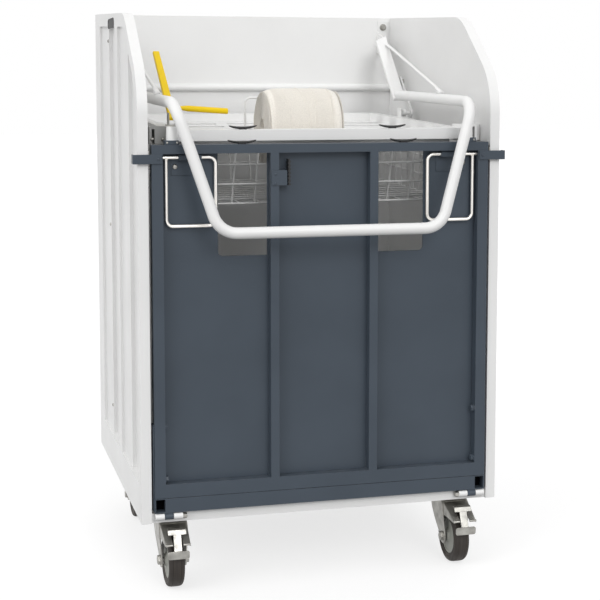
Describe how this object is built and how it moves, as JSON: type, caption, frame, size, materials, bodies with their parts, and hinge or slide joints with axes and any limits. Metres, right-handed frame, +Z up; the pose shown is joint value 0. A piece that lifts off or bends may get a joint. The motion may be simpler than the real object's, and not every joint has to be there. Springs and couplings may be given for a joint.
{
  "type": "recycling baler",
  "caption": "Manual recycling baler on casters: open-topped white cabinet with a dark fold-down door, bent-tube bail, ram with wire basket and twine spool.",
  "frame": {"origin": "middle of the footprint, on the floor", "axes": "+Z up; -Y towards the operator, through the door; +X to the operator's right"},
  "size_m": [0.874, 0.8481, 1.339],
  "materials": {
    "white_enamel": "satin powder coat",
    "dark_enamel": "satin powder coat",
    "zinc": "bright zinc plate",
    "polished_steel": "polished rod",
    "yellow_enamel": "gloss powder coat",
    "black_plastic": "moulded black",
    "grey_plastic": "moulded grey",
    "hub_grey": "moulded grey",
    "tread": "worn rubber",
    "twine": "wound cream twine",
    "wire_white": "coated wire"
  },
  "bodies": {
    "housing": {"side_wall_left": "white_enamel", "side_wall_right": "white_enamel", "rear_wall": "white_enamel", "ledge_rail": "white_enamel", "base_frame": "white_enamel", "floor_plate": "white_enamel", "keepers": "zinc", "hinge_pins": "zinc", "pivot_brackets": "white_enamel", "pivot_bolts": "zinc", "caster_plates": "zinc"},
    "door": {"door_frame": "dark_enamel", "door_panel": "dark_enamel", "door_sill": "dark_enamel", "door_gussets": "dark_enamel", "door_bolts": "dark_enamel", "door_hooks": "dark_enamel", "handle_guides": "dark_enamel", "door_cleats": "black_plastic", "cutter_bracket": "dark_enamel", "cutter_blade": "black_plastic"},
    "lock_handle_left": {"lock_handle_left": "polished_steel"},
    "lock_handle_right": {"lock_handle_right": "polished_steel"},
    "bail": {"bail_tube": "white_enamel", "bail_arms": "white_enamel", "bail_braces": "white_enamel", "link_bolts": "zinc"},
    "link_left": {"link_left": "white_enamel"},
    "link_right": {"link_right": "white_enamel"},
    "ram": {"ram_frame": "white_enamel", "ram_floor": "white_enamel", "ram_basket": "wire_white", "ram_cleats": "black_plastic", "ram_guides": "grey_plastic", "twine_spool": "twine", "spool_cradle": "wire_white", "lever_mounts": "zinc"},
    "yellow_lever": {"yellow_lever": "yellow_enamel"},
    "pull_handle": {"pull_handle": "yellow_enamel"},
    "swivel_front_left": {"caster_fork_front_left": "zinc", "caster_axle_front_left": "zinc"},
    "wheel_front_left": {"caster_hub_front_left": "hub_grey", "caster_tyre_front_left": "tread"},
    "swivel_front_right": {"caster_fork_front_right": "zinc", "caster_axle_front_right": "zinc"},
    "wheel_front_right": {"caster_hub_front_right": "hub_grey", "caster_tyre_front_right": "tread"},
    "swivel_rear_left": {"caster_fork_rear_left": "zinc", "caster_axle_rear_left": "zinc"},
    "wheel_rear_left": {"caster_hub_rear_left": "hub_grey", "caster_tyre_rear_left": "tread"},
    "swivel_rear_right": {"caster_fork_rear_right": "zinc", "caster_axle_rear_right": "zinc"},
    "wheel_rear_right": {"caster_hub_rear_right": "hub_grey", "caster_tyre_rear_right": "tread"},
    "pedal_front_left": {"brake_pedal_front_left": "zinc"},
    "pedal_front_right": {"brake_pedal_front_right": "zinc"}
  },
  "joints": [
    {"name": "bail_pivot", "type": "hinge", "parent": "housing", "child": "bail", "pos_m": [0, 0.374, 1.262], "axis": [-1, 0, 0], "range_deg": [0, 100]},
    {"name": "door_hinge", "type": "hinge", "parent": "housing", "child": "door", "pos_m": [0, -0.343, 0.183], "axis": [1, 0, 0], "range_deg": [0, 60]},
    {"name": "ram_lift", "type": "slide", "parent": "housing", "child": "ram", "axis": [0, 0, 1], "range_m": [0, 0.262]},
    {"name": "link_left_pivot", "type": "hinge", "parent": "bail", "child": "link_left", "pos_m": [-0.366, 0.245, 1.161], "axis": [1, 0, 0], "range_deg": [0, 100]},
    {"name": "link_right_pivot", "type": "hinge", "parent": "bail", "child": "link_right", "pos_m": [0.366, 0.245, 1.161], "axis": [1, 0, 0], "range_deg": [0, 100]},
    {"name": "handle_left_slide", "type": "slide", "parent": "door", "child": "lock_handle_left", "axis": [-1, 0, 0], "range_m": [-0.015, 0.004]},
    {"name": "handle_right_slide", "type": "slide", "parent": "door", "child": "lock_handle_right", "axis": [1, 0, 0], "range_m": [-0.015, 0.004]},
    {"name": "lever_tilt", "type": "hinge", "parent": "ram", "child": "yellow_lever", "pos_m": [-0.325, -0.151, 1.078], "axis": [1, 0, 0], "range_deg": [0, 50]},
    {"name": "pull_swing", "type": "hinge", "parent": "ram", "child": "pull_handle", "pos_m": [-0.299, -0.119, 1.098], "axis": [0, 0, 1], "range_deg": [-60, 75]},
    {"name": "swivel_front_left_turn", "type": "hinge", "parent": "housing", "child": "swivel_front_left", "pos_m": [-0.345, -0.241, 0.15], "axis": [0, 0, 1], "continuous": true},
    {"name": "wheel_front_left_roll", "type": "hinge", "parent": "swivel_front_left", "child": "wheel_front_left", "pos_m": [-0.345, -0.281, 0.0625], "axis": [1, 0, 0], "continuous": true},
    {"name": "swivel_front_right_turn", "type": "hinge", "parent": "housing", "child": "swivel_front_right", "pos_m": [0.345, -0.241, 0.15], "axis": [0, 0, 1], "continuous": true},
    {"name": "wheel_front_right_roll", "type": "hinge", "parent": "swivel_front_right", "child": "wheel_front_right", "pos_m": [0.345, -0.281, 0.0625], "axis": [1, 0, 0], "continuous": true},
    {"name": "swivel_rear_left_turn", "type": "hinge", "parent": "housing", "child": "swivel_rear_left", "pos_m": [-0.345, 0.309, 0.15], "axis": [0, 0, 1], "continuous": true},
    {"name": "wheel_rear_left_roll", "type": "hinge", "parent": "swivel_rear_left", "child": "wheel_rear_left", "pos_m": [-0.345, 0.269, 0.0625], "axis": [1, 0, 0], "continuous": true},
    {"name": "swivel_rear_right_turn", "type": "hinge", "parent": "housing", "child": "swivel_rear_right", "pos_m": [0.345, 0.309, 0.15], "axis": [0, 0, 1], "continuous": true},
    {"name": "wheel_rear_right_roll", "type": "hinge", "parent": "swivel_rear_right", "child": "wheel_rear_right", "pos_m": [0.345, 0.269, 0.0625], "axis": [1, 0, 0], "continuous": true},
    {"name": "pedal_front_left_press", "type": "hinge", "parent": "swivel_front_left", "child": "pedal_front_left", "pos_m": [-0.345, -0.279, 0.132], "axis": [1, 0, 0], "range_deg": [0, 10]},
    {"name": "pedal_front_right_press", "type": "hinge", "parent": "swivel_front_right", "child": "pedal_front_right", "pos_m": [0.345, -0.279, 0.132], "axis": [1, 0, 0], "range_deg": [0, 10]}
  ],
  "couplings": [
    {"joint": "door_hinge", "follows": "bail_pivot", "ratio": 0.6},
    {"joint": "ram_lift", "follows": "bail_pivot", "m_per_rad": 0.15},
    {"joint": "link_left_pivot", "follows": "bail_pivot", "ratio": 1},
    {"joint": "link_right_pivot", "follows": "bail_pivot", "ratio": 1}
  ]
}
